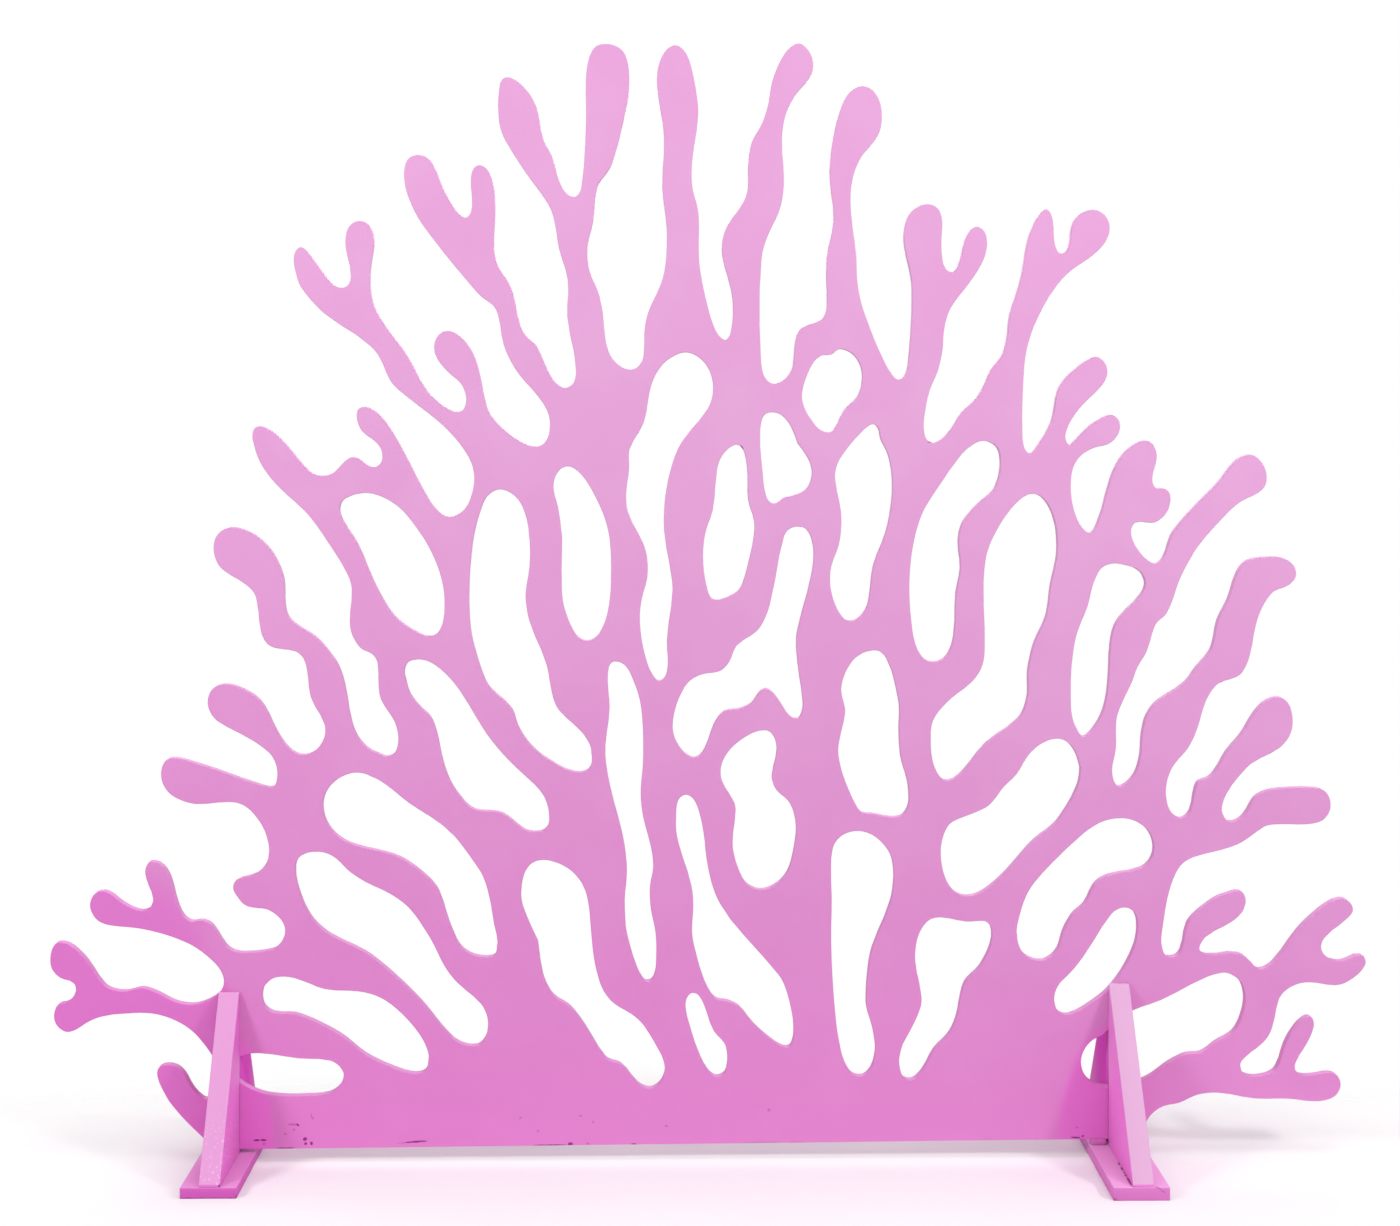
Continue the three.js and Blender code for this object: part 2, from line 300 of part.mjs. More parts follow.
// The cuts across the branches at the main forks, each from edge to edge as [x, z], [x, z].
const FORK_CUTS = [
  // round the solid root
  [[-912, 168], [-880, 170]], [[-686, 175], [-655, 217]], [[-523, 192], [-472, 229]],
  [[-498, 369], [-470, 415]], [[-398, 400], [-320, 408]], [[-223, 428], [-158, 435]],
  [[-103, 375], [-28, 385]], [[150, 262], [232, 266]], [[303, 215], [356, 211]],
  [[519, 415], [568, 417]], [[624, 376], [652, 327]], [[668, 273], [704, 214]], [[838, 174], [838, 94]],
  // between the limbs on the left
  [[-766, 540], [-818, 567]], [[-628, 713], [-613, 757]], [[-480, 607], [-462, 676]],
  [[-545, 929], [-522, 974]], [[-543, 1169], [-502, 1202]], [[-335, 705], [-300, 745]],
  [[-337, 1155], [-276, 1160]], [[-275, 1284], [-319, 1324]], [[-222, 757], [-196, 757]],
  [[-143, 886], [-112, 907]], [[-85, 1480], [-130, 1478]],
  // between the limbs on the right
  [[27, 457], [48, 548]], [[108, 794], [132, 843]], [[165, 1173], [157, 1234]],
  [[160, 1328], [185, 1373]], [[195, 1487], [153, 1495]], [[272, 609], [278, 647]],
  [[275, 936], [250, 1002]], [[308, 1358], [347, 1447]], [[347, 805], [408, 780]],
  [[475, 637], [450, 709]], [[560, 552], [610, 523]], [[432, 933], [482, 883]],
  [[480, 1322], [410, 1330]], [[637, 1180], [680, 1190]], [[683, 730], [747, 733]],
  [[788, 448], [841, 433]],
];

// A point inside each limb, which says which cut-off solid it is.
const LIMBS = {
  root: [0, 100],
  lower_left: [-870, 330],
  left: [-760, 640],
  upper_left: [-600, 950],
  middle_left: [-300, 600],
  centre_left: [-470, 1120],
  centre: [-230, 900],
  centre_right: [-20, 700],
  right: [190, 620],
  middle_right: [400, 500],
  upper_right: [345, 960],
  top_right: [570, 1290],
  far_upper_right: [665, 790],
  outer_right: [840, 620],
  lower_right: [1020, 300],
};

// Keeps only the points that a line between two of them would miss by more than the tolerance.
function thin(points) {
  const first = points[0];
  const last = points[points.length - 1];
  const chord = new THREE.Line3(first, last);
  const nearest = new THREE.Vector3();
  let worst = 0;
  let split = 0;
  for (let i = 1; i < points.length - 1; i += 1) {
    chord.closestPointToPoint(points[i], true, nearest);
    const miss = nearest.distanceTo(points[i]);
    if (miss > worst) {
      worst = miss;
      split = i;
    }
  }
  if (worst <= OUTLINE_TOLERANCE) {
    return [first, last];
  }
  const before = thin(points.slice(0, split + 1));
  const after = thin(points.slice(split));
  return [...before.slice(0, -1), ...after];
}

// Every outline was drawn as seen from this eye point, so where an edge's sawn side faces the eye the
// line follows the back face. There it is moved in, by what the thickness shows at that distance.
function frontEdge(curve, t) {
  const point = curve.getPoint(t);
  const along = curve.getTangent(t);
  const outward = new THREE.Vector3(-along.y, along.x, 0);
  const facing = Math.max(0, outward.dot(EYE.clone().sub(point)));
  return point.addScaledVector(outward, -facing * BOARD_THICKNESS / EYE_DISTANCE);
}

// A smooth line through hand-set points, thinned to as few straight steps as it needs. The rim runs
// clockwise and the openings counter-clockwise, so that the open side is always on the left.
function smoothLine(pairs, closed) {
  const knots = pairs.map(([x, z]) => new THREE.Vector3(x, z, 0));
  if (closed && THREE.ShapeUtils.isClockWise(knots)) {
    knots.reverse();
  }
  const curve = new THREE.CatmullRomCurve3(knots, closed, 'centripetal');
  const steps = knots.length * CURVE_STEPS;
  const samples = Array.from({ length: steps + 1 }, (_, i) => frontEdge(curve, i / steps));
  if (!closed) {
    return thin(samples);
  }
  const half = Math.floor(samples.length / 2);
  const firstHalf = thin(samples.slice(0, half + 1));
  const secondHalf = thin(samples.slice(half));
  return [...firstHalf.slice(0, -1), ...secondHalf.slice(0, -1)];
}

function flat(points) {
  return points.map((point) => new THREE.Vector2(point.x, point.y));
}

// The whole fan as one closed board: x stays x, the outline's height becomes Z, and it is centred on Y = 0.
// The rim runs counter-clockwise here, so that ExtrudeGeometry turns every opening the right way itself.
function boardGeometry() {
  const shape = new THREE.Shape(flat(smoothLine(RIM, false)).reverse());
  for (const ring of OPENINGS) {
    shape.holes.push(new THREE.Path(flat(smoothLine(ring, true))));
  }
  const geometry = new THREE.ExtrudeGeometry(shape, { depth: BOARD_THICKNESS, bevelEnabled: false });
  geometry.rotateX(Math.PI / 2);
  geometry.translate(0, BOARD_THICKNESS / 2, 0);
  return geometry;
}

function solidOf(geometry) {
  geometry.deleteAttribute('normal');
  geometry.deleteAttribute('uv');
  const merged = mergeVertices(geometry, 1e-3);
  return new wasm.Manifold(new wasm.Mesh({
    numProp: 3,
    vertProperties: merged.attributes.position.array,
    triVerts: new Uint32Array(merged.index.array),
  }));
}

function geometryOf(solid) {
  const mesh = solid.getMesh();
  const geometry = new THREE.BufferGeometry();
  geometry.setAttribute('position', new THREE.BufferAttribute(mesh.vertProperties, 3));
  geometry.setIndex(new THREE.BufferAttribute(mesh.triVerts, 1));
  return geometry;
}

// A saw-thin box that stands across one branch.
function cutSolid([[x1, z1], [x2, z2]]) {
  const length = Math.hypot(x2 - x1, z2 - z1) + 2 * CUT_OVERRUN;
  const geometry = new THREE.BoxGeometry(length, 2 * BOARD_THICKNESS, GAP);
  geometry.rotateY(-Math.atan2(z2 - z1, x2 - x1));
  geometry.translate((x1 + x2) / 2, 0, (z1 + z2) / 2);
  return solidOf(geometry);
}

// The board cut apart at its forks, as a list of solids.
function limbSolids() {
  let board = solidOf(boardGeometry());
  for (const cut of FORK_CUTS) {
    board = board.subtract(cutSolid(cut));
  }
  return board.decompose();
}

// True for the solid that holds the board's material at a point.
function holds(solid, [x, z]) {
  const probe = solidOf(new THREE.BoxGeometry(1, 1, 1).translate(x, 0, z));
  return !solid.intersect(probe).isEmpty();
}

// One right-angled triangle with a blunt tip and toe: y runs out from the board, z up from the foot.
function braceGeometry({ height, reach, tip }) {
  const profile = new THREE.Shape();
  profile.moveTo(0, 0);
  profile.lineTo(reach, 0);
  profile.lineTo(reach, BRACE_TOE);
  profile.lineTo(tip, height);
  profile.lineTo(0, height);
  profile.closePath();
  const geometry = new THREE.ExtrudeGeometry(profile, { depth: BRACE_THICKNESS, bevelEnabled: false });
  geometry.translate(0, 0, -BRACE_THICKNESS / 2);
  geometry.applyMatrix4(new THREE.Matrix4().makeBasis(
    new THREE.Vector3(0, 1, 0), new THREE.Vector3(0, 0, 1), new THREE.Vector3(1, 0, 0)));
  return geometry;
}

function paint(color) {
  return new THREE.MeshStandardMaterial({ color, roughness: 0.55, metalness: 0 });
}

function named(name, geometry, color) {
  const mesh = new THREE.Mesh(geometry, paint(color));
  mesh.name = name;
  return mesh;
}

function addStand(group, stand) {
  const foot = named(`foot_${stand.side}`,
    new THREE.BoxGeometry(FOOT_WIDTH, stand.footLength, stand.footThickness), FOOT_PINK);
  foot.position.set(stand.footX, 0, stand.footThickness / 2);
  group.add(foot);
  for (const [place, turn] of [['front', Math.PI], ['rear', 0]]) {
    const brace = named(`brace_${stand.side}_${place}`, braceGeometry(stand[place]), BRACE_PINK);
    const out = BOARD_THICKNESS / 2 + GAP;
    brace.position.set(stand.braceX, place === 'front' ? -out : out, stand.footThickness + GAP);
    brace.rotation.z = turn;
    group.add(brace);
  }
}

function addPacker(group) {
  const packer = named('packer_right',
    new THREE.BoxGeometry(PACKER.width, BOARD_THICKNESS, PACKER.height), FOOT_PINK);
  packer.position.set(PACKER.x, 0, PACKER.footThickness + GAP + PACKER.height / 2);
  group.add(packer);
}

const fan = new THREE.Group();
fan.name = 'sea_fan_cutout';
const solids = limbSolids();
for (const [limb, seed] of Object.entries(LIMBS)) {
  fan.add(named(`fan_${limb}`, geometryOf(solids.find((solid) => holds(solid, seed))), FAN_PINK));
}
for (const stand of STANDS) {
  addStand(fan, stand);
}
addPacker(fan);

export default fan;
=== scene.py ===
# The look of a painted sea fan cut-out on its stand: one sawn sheet, four braces and two feet.
# Metres, +Z up, the fan faces -Y.

import math
from collections import defaultdict

import bmesh
import bpy
from mathutils import Matrix, Vector
from mathutils.kdtree import KDTree


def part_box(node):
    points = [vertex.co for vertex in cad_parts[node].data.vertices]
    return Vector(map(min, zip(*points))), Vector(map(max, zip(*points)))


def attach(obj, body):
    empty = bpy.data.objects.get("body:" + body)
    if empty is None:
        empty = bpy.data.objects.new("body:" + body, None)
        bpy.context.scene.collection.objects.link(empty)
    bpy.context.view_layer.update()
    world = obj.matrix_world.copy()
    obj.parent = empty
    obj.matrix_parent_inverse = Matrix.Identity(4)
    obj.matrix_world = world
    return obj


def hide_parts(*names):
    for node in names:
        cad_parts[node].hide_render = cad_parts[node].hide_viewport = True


bl_info = {
    "name": "Sea fan cut-out",
    "version": (1, 0, 0),
    "blender": (4, 5, 0),
    "location": "View3D > Sidebar > Sea fan",
    "description": "Builds a painted sea fan cut-out held upright between braces on two feet",
    "category": "Add Mesh",
}

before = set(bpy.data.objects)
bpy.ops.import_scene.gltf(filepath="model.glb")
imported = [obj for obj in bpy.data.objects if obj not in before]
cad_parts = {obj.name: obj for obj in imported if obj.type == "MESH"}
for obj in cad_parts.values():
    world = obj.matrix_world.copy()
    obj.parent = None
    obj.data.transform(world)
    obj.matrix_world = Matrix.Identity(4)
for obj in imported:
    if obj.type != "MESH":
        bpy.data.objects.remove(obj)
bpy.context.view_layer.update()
FAN_NODES = sorted(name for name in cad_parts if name.startswith("fan_"))
BRACE_NODES = sorted(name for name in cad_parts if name.startswith("brace_"))
FOOT_NODES = sorted(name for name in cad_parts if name.startswith(("foot_", "packer_")))

MM = 0.001
SAME_POINT = 0.01 * MM      # corners closer than this are one corner
WELD = 1.5 * MM             # closes the saw-thin cuts between the CAD limbs
LONG_STRAIGHT = 200 * MM    # only the sheet's sawn bottom edge runs this far without a bend
SLIVER = 100 * MM * MM      # a loop smaller than this is a leftover of a cut, and no opening
BULGE = 0.2 * MM            # how far the smooth outline may swing out past its corners
RAGGED = 1.2 * MM           # how far the edge of a mark wanders
FADE = (1.25, 0.75)         # a mark fades in between these shares of its half sizes

# How a paint turns from its low to its high colour, a painted light: paler upwards on the sheet and towards
# the right on the stands. The share gained per metre in x, y and z, and the sum of those shares at which it
# starts.
UPWARD = ((0.09, 0, 0.5), -0.26)
LEFT_TO_RIGHT = ((0.6, 0, 0), -0.5)

# Marks, in mm: middle x and z, half length, half height, and tilt in degrees, on the front of the sheet.
CHIPS = [
    (-546, 37.2, 20, 1.7, 4), (-751, 43.4, 3.9, 3.6, 20), (-750, 35, 2.6, 2.2, 30),
    (-739, 35.4, 2.6, 3.1, 0), (-764, 69.6, 3.3, 1.8, -35), (-840, 41.7, 6, 1.9, 8),
    (-827, 42, 5, 2, 0), (-787, 26.8, 16, 1.3, 0.4), (-261, 31.6, 4.6, 3, 0),
    (-300, 29.8, 30, 1.1, 0.4), (-144, 30.6, 5, 1.5, 0), (57, 1322, 1.3, 4.5, 33),
    (677, 38.6, 9, 1.4, -4), (691, 41, 2.6, 1.6, 30),
]
FAINT_CHIPS = [
    (-562, 36, 20, 1, 4), (-774, 70.3, 9, 2, 0), (-771, 60.4, 2.3, 2, 0), (-787, 53, 3.2, 1.6, 0),
    (-739, 87, 1.3, 3.2, 10), (-737, 82.2, 2.4, 2.2, 0), (-827, 35, 3.3, 1.8, 0),
    (-229, 32, 2.5, 2.2, 0), (-321, 55.8, 2.2, 1.7, 0), (-353, 80.5, 2.2, 1.7, 0),
    (-242, 83.7, 3, 1.7, 0), (-219, 72.3, 2.2, 1.7, 0), (-83, 64, 3, 2.2, 0), (107, 92, 3.2, 2.8, 0),
    (160, 32, 14, 1.2, 0.4), (680, 57, 2.2, 1.7, 0),
]
SCUFFS = [(92, 32.4, 34, 1.9, 0.4)]
# Painted shadows beside the braces: deeper pink patches where the braces shade the sheet.
PAINTED_BRACE_SHADOWS = [(704, 105, 50, 140, -14), (-856, 90, 43, 135, 8)]
# Painted shade on the lowest left fingers: a deeper pink where less light reaches.
LOW_LEFT_SHADE = [(-985, 150, 80, 130, 0), (-930, 300, 40, 60, 0), (-1120, 340, 190, 200, 0)]
SHEET_FRONT = -9            # where the front of the sheet lies
SHEET_MARK_DEPTH = 6        # half depth, so that a mark stays off the back

# Marks on the stands, in mm: middle x, y and z, half width, half depth, half height, and tilt.
FOOT_CHIPS = [
    (706, -217, 2, 4, 4, 4, 0), (783, -216, 22.5, 6, 3, 1.2, -15), (791, -217, 16.5, 6, 3, 1.2, -35),
    (-842, -182, 2, 3, 4, 5, 0), (-852, -182, 1, 6, 3, 1.8, 0), (-905, -182, 1, 5, 3, 1.8, 0),
    (-927, -182, 1.2, 8, 3, 2, 0), (-892, -182, 0.5, 50, 3, 1.6, 0),
]
# Dark lines along the joints of brace, foot and sheet: painted shade of the hairline gaps, with some
# cracked paint.
JOINT_SHADE_AND_CRACKS = [
    (738.5, -104, 23.8, 3, 6, 2.6, 0), (738.5, -128, 23.8, 3, 9, 2.6, 0), (738.5, -147, 23.8, 3, 4, 2.6, 0),
    (738.5, -160, 23.8, 3, 6, 2.6, 0), (738.5, -188, 23.8, 3, 20, 2.6, 0), (-872, -181, 22, 2.6, 3, 2.6, 0),
    (738.5, -10.5, 105, 3, 2.4, 72, 0), (-871.2, -10.5, 100, 3, 2.4, 72, 0),
]

# What lies over each paint, lowest first: the marks, their colour and their strength. Chips and scuffs are
# wear; the brace shadows and the low left shade are painted shade, and the joint lines are painted shade
# with some cracked paint.
SHEET_WEAR_AND_SHADE = [
    (PAINTED_BRACE_SHADOWS, "#E36DCE", 0.7), (LOW_LEFT_SHADE, "#D45FBF", 0.45), (SCUFFS, "#A07CA0", 0.55),
    (FAINT_CHIPS, "#A8308C", 0.5), (CHIPS, "#86206E", 0.95),
]
BRACE_CRACKS_AND_SHADE = [(JOINT_SHADE_AND_CRACKS, "#7E1E68", 0.8)]
FOOT_WEAR_AND_SHADE = [(FOOT_CHIPS, "#98348A", 0.6), (JOINT_SHADE_AND_CRACKS, "#7E1E68", 0.8)]


def srgb(code):
    """Turns an sRGB hex colour into the linear values that shaders take."""
    channels = [int(code[i:i + 2], 16) / 255 for i in (1, 3, 5)]
    return tuple(c / 12.92 if c <= 0.04045 else ((c + 0.055) / 1.055) ** 2.4 for c in channels)


def add_node(tree, kind, inputs=None, **settings):
    """Adds one shader node. An input's value is a number, a colour, or the output socket to link."""
    made = tree.nodes.new(kind)
    for key, value in settings.items():
        setattr(made, key, value)
    for key, value in (inputs or {}).items():
        if isinstance(value, bpy.types.NodeSocket):
            tree.links.new(value, made.inputs[key])
        else:
            made.inputs[key].default_value = value
    return made


class FanSizes(bpy.types.PropertyGroup):
    """Sizes and colours of the cut-out and its stand."""

    edge_round: bpy.props.FloatProperty(
        name="Rim rounding", description="Radius that sanding and paint leave on the sawn rim",
        default=1.2 * MM, min=0.2 * MM, max=4 * MM, unit="LENGTH")
    stand_round: bpy.props.FloatProperty(
        name="Stand rounding", description="Radius on the edges of the braces and feet",
        default=1.3 * MM, min=0.2 * MM, max=2 * MM, unit="LENGTH")
    paint_low: bpy.props.FloatVectorProperty(
        name="Paint, low", description="Colour of the sheet near the floor",
        default=srgb("#D474C0"), size=3, subtype="COLOR", min=0, max=1)
    # A painted light: the sheet is painted paler towards the crown, for the light from above.
    paint_high: bpy.props.FloatVectorProperty(
        name="Paint, high", description="Colour of the sheet at the crown, where the coat is paler",
        default=srgb("#D499C8"), size=3, subtype="COLOR", min=0, max=1)
    stand_left: bpy.props.FloatVectorProperty(
        name="Left brace paint", description="Colour of the left front brace and both rear braces",
        default=srgb("#DD75C9"), size=3, subtype="COLOR", min=0, max=1)
    # A painted light: the right front brace is painted paler, for the light from the right.
    stand_right: bpy.props.FloatVectorProperty(
        name="Right brace paint", description="Colour of the right front brace, where the coat is paler",
        default=srgb("#E780D4"), size=3, subtype="COLOR", min=0, max=1)
    # A painted shade: the deeper pink on the rear braces' inner sides, close behind the sheet.
    corner_shade_colour: bpy.props.FloatVectorProperty(
        name="First coat", description="Deeper colour that shows in the corners behind the sheet",
        default=srgb("#E038C6"), size=3, subtype="COLOR", min=0, max=1)
    foot_left: bpy.props.FloatVectorProperty(
        name="Left foot paint", description="Colour of the left foot board",
        default=srgb("#C456AF"), size=3, subtype="COLOR", min=0, max=1)
    # A painted light: the right foot is painted paler, for the light from the right.
    foot_right: bpy.props.FloatVectorProperty(
        name="Right foot paint", description="Colour of the right foot board, where the coat is paler",
        default=srgb("#CF73BB"), size=3, subtype="COLOR", min=0, max=1)
    floor_colour: bpy.props.FloatVectorProperty(
        name="Floor", description="Colour of the studio floor",
        default=srgb("#E0DEDF"), size=3, subtype="COLOR", min=0, max=1)
    key_power: bpy.props.FloatProperty(
        name="Key light", description="Power of the large soft light above the front",
        default=25.0, min=0, subtype="POWER")
    side_power: bpy.props.FloatProperty(
        name="Side lamps", description="Power of the side lamps, before the left is made the stronger",
        default=68.0, min=0, subtype="POWER")
    back_power: bpy.props.FloatProperty(
        name="Back light", description="Power of the wide soft light behind the object",
        default=150.0, min=0, subtype="POWER")
    overhead_power: bpy.props.FloatProperty(
        name="Overhead light", description="Power of the soft light that hangs over the object",
        default=185.0, min=0, subtype="POWER")


def laid_over(tree, colour, tone, value, low, high, most):
    """Lays a tone over a colour: none where value is at low, and a share of most where it is at high."""
    amount = add_node(tree, "ShaderNodeMapRange", {
        "Value": value, "From Min": low, "From Max": high, "To Max": most},
        interpolation_type="SMOOTHSTEP")
    # The Mix node keeps its two colours in sockets 6 and 7, and their result in output 2.
    return add_node(tree, "ShaderNodeMix", {
        "Factor": amount.outputs["Result"], 6: colour, 7: tone}, data_type="RGBA").outputs[2]


def marks(tree, place, spots):
    """A mask that is 1 on each listed mark and 0 elsewhere."""
    total = 0.0
    for x, y, z, half_length, half_depth, half_height, tilt in spots:
        local = add_node(tree, "ShaderNodeMapping", {
            "Vector": place, "Location": (x * MM, y * MM, z * MM),
            "Rotation": (0, -math.radians(tilt), 0),
            "Scale": (half_length * MM, half_depth * MM, half_height * MM)}, vector_type="TEXTURE")
        away = add_node(tree, "ShaderNodeVectorMath", {0: local.outputs[0]}, operation="LENGTH")
        spot = add_node(tree, "ShaderNodeMapRange", {
            "Value": away.outputs["Value"], "From Min": FADE[0], "From Max": FADE[1]},
            interpolation_type="SMOOTHSTEP")
        most = add_node(tree, "ShaderNodeMath", {0: total, 1: spot.outputs["Result"]}, operation="MAXIMUM")
        total = most.outputs[0]
    return total


def on_sheet(spots):
    """Sets flat marks on the front face of the sheet."""
    return [(x, SHEET_FRONT, z, length, SHEET_MARK_DEPTH, height, tilt)
            for x, z, length, height, tilt in spots]


def wear_and_shade(tree, colour, place, layers):
    """Lays marks over a paint's colour: wear, and painted shade. A layer is its marks, their colour and
    their strength.
    """
    # Noise 6 mm across pushes the marks about, so that their edges are ragged.
    wander = add_node(tree, "ShaderNodeTexNoise", {"Vector": place, "Scale": 1 / (6 * MM)})
    push = add_node(tree, "ShaderNodeVectorMath", {
        0: wander.outputs["Color"], 1: (2 * RAGGED, 0, 2 * RAGGED), 2: (-RAGGED, 0, -RAGGED)},
        operation="MULTIPLY_ADD")
    ragged = add_node(tree, "ShaderNodeVectorMath", {0: place, 1: push.outputs[0]}, operation="ADD")
    for spots, tone, strength in layers:
        mask = marks(tree, ragged.outputs[0], spots)
        colour = laid_over(tree, colour, (*srgb(tone), 1), mask, 0, 1, strength)
    return colour


def coat_with_painted_light(tree, place, low, high, slope, start):
    """The paint's colour with a painted light: it turns from low to high along a slope, and is laid a
    little unevenly.
    """
    along = add_node(tree, "ShaderNodeVectorMath", {0: place, 1: slope}, operation="DOT_PRODUCT")
    colour = laid_over(tree, (*low, 1), (*high, 1), along.outputs["Value"], start, start + 1, 1.0)
    # Where the second coat is thicker, patches about 180 mm across are barely darker.
    patches = add_node(tree, "ShaderNodeTexNoise", {"Vector": place, "Scale": 1 / (180 * MM)})
    thicker = (low[0] * 0.86, low[1] * 0.74, low[2] * 0.84, 1)
    return laid_over(tree, colour, thicker, patches.outputs["Fac"], 0.35, 0.65, 0.10)


def painted_light_on_upper_faces(tree, place, colour, tone, left, right):
    """Lays a painted light on the faces that look up: a tone for how they catch the light, as strongly as
    given at the left and at the right.
    """
    geometry = add_node(tree, "ShaderNodeNewGeometry")
    facing = add_node(tree, "ShaderNodeSeparateXYZ", {0: geometry.outputs["Normal"]})
    across = add_node(tree, "ShaderNodeSeparateXYZ", {0: place})
    most = add_node(tree, "ShaderNodeMapRange", {
        "Value": across.outputs["X"], "From Min": -1, "From Max": 1, "To Min": left, "To Max": right},
        interpolation_type="SMOOTHSTEP")
    return laid_over(tree, colour, (*srgb(tone), 1), facing.outputs["Z"], 0.0, 0.5, most.outputs["Result"])


def satin_skin(tree, place, gloss):
    """The soft sheen of the paint, broken up by a fine stipple."""
    # A roller's stipple is 1 to 2 mm; it is drawn at 3 mm so that it shows.
    stipple = add_node(tree, "ShaderNodeTexNoise", {
        "Vector": place, "Scale": 1 / (3 * MM), "Detail": 3.0}).outputs["Fac"]
    relief = add_node(tree, "ShaderNodeBump", {
        "Height": stipple, "Strength": 0.16, "Distance": 0.6 * MM})
    rough = add_node(tree, "ShaderNodeMapRange", {
        "Value": stipple, "From Min": 0.3, "From Max": 0.7, "To Min": 0.46, "To Max": 0.58},
        interpolation_type="SMOOTHSTEP")
    shader = tree.nodes["Principled BSDF"]
    tree.links.new(relief.outputs[0], shader.inputs["Normal"])
    tree.links.new(rough.outputs["Result"], shader.inputs["Roughness"])
    shader.inputs["IOR"].default_value = 1.45
    shader.inputs["Specular IOR Level"].default_value = gloss


def roller_paint(name, low, high, turn, upper, gloss):
    """Satin emulsion rolled on a wooden board: an even colour with a fine stipple and a soft sheen.

    The colour turns from low to high as turn says, a painted light for how the light falls across it. Upper
    is the tone painted on the faces that look up, for how they catch the light, and how strong it is at the
    left and at the right. Gives the material, the colour so far and its coordinates.
    """
    material = bpy.data.materials.new(name)
    material.use_nodes = True
    tree = material.node_tree
    place = add_node(tree, "ShaderNodeTexCoord").outputs["Object"]
    colour = coat_with_painted_light(tree, place, low, high, *turn)
    colour = painted_light_on_upper_faces(tree, place, colour, *upper)
    satin_skin(tree, place, gloss)
    return material, colour, place


def set_colour(material, colour):
    """Gives a paint its finished colour."""
    tree = material.node_tree
    tree.links.new(colour, tree.nodes["Principled BSDF"].inputs["Base Color"])


def painted_glint_flecks(tree, colour, place):
    """Painted highlights: pale flecks 4 mm apart for the glints on the roller's stipple, low on the left
    stand only.
    """
    flecks = add_node(tree, "ShaderNodeTexNoise", {"Vector": place, "Scale": 1 / (4 * MM)})
    where = add_node(tree, "ShaderNodeSeparateXYZ", {0: place})
    low = add_node(tree, "ShaderNodeMapRange", {
        "Value": where.outputs["Z"], "From Min": 0.15, "From Max": 0.08}, interpolation_type="SMOOTHSTEP")
    left = add_node(tree, "ShaderNodeMapRange", {
        "Value": where.outputs["X"], "From Min": 0, "From Max": -0.5, "To Max": low.outputs["Result"]},
        interpolation_type="SMOOTHSTEP")
    most = add_node(tree, "ShaderNodeMath", {0: left.outputs["Result"], 1: 0.6}, operation="MULTIPLY")
    return laid_over(tree, colour, (*srgb("#F2C9E6"), 1), flecks.outputs["Fac"], 0.6, 0.7, most.outputs[0])


def painted_corner_shade(tree, colour, place, tone):
    """Paints shade on the inner sides of the rear braces, deepest close behind the sheet, where the corner
    is shaded.
    """
    geometry = add_node(tree, "ShaderNodeNewGeometry")
    turned = add_node(tree, "ShaderNodeSeparateXYZ", {0: geometry.outputs["Normal"]})
    where = add_node(tree, "ShaderNodeSeparateXYZ", {0: place})
    near = add_node(tree, "ShaderNodeMapRange", {
        "Value": where.outputs["Y"], "From Min": 0.17, "From Max": 0.06}, interpolation_type="SMOOTHSTEP")
    # A side that looks to the middle of the sheet has x and its normal's x of opposite signs.
    inward = add_node(tree, "ShaderNodeMath", {
        0: turned.outputs["X"], 1: where.outputs["X"]}, operation="MULTIPLY")
    return laid_over(tree, colour, (*tone, 1), inward.outputs[0], -0.3, -0.6, near.outputs["Result"])


def finish_piece(name, mesh, material, slot, *nodes):
    """Puts a mesh in the scene as one piece, in place of its CAD nodes."""
    mesh.materials.clear()
    mesh.materials.append(material)
    piece = bpy.data.objects.new(name, mesh)
    bpy.context.scene.collection.objects.link(piece)
    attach(piece, "root")
    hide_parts(*nodes)


def front_skins():
    """The front faces of every CAD limb, joined across the cuts into one sheet."""
    skin = bmesh.new()
    limb = skin.verts.layers.int.new("limb")
    for number, name in enumerate(FAN_NODES):
        already = len(skin.verts)
        skin.from_mesh(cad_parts[name].data)
        for vert in list(skin.verts)[already:]:
            vert[limb] = number
    bmesh.ops.remove_doubles(skin, verts=skin.verts[:], dist=SAME_POINT)
    turned_away = [face for face in skin.faces if face.normal.y > -0.9]
    bmesh.ops.delete(skin, geom=turned_away, context="FACES")
    bmesh.ops.dissolve_limit(skin, angle_limit=0.003, verts=skin.verts[:], edges=skin.edges[:])
    bmesh.ops.weld_verts(skin, targetmap=facing_corners(skin, limb))
    return skin


def facing_corners(skin, limb):
    """Pairs the corners that face each other across a cut: each is the other's nearest on another limb."""
    skin.verts.ensure_lookup_table()
    tree = KDTree(len(skin.verts))
    for vert in skin.verts:
        tree.insert(vert.co, vert.index)
    tree.balance()
    nearest = {}
    for vert in skin.verts:
        across = [(gap, index) for _, index, gap in tree.find_range(vert.co, WELD)
                  if skin.verts[index][limb] != vert[limb]]
        if across:
            nearest[vert] = skin.verts[min(across)[1]]
    return {vert: other for vert, other in nearest.items()
            if nearest.get(other) is vert and vert.index < other.index}


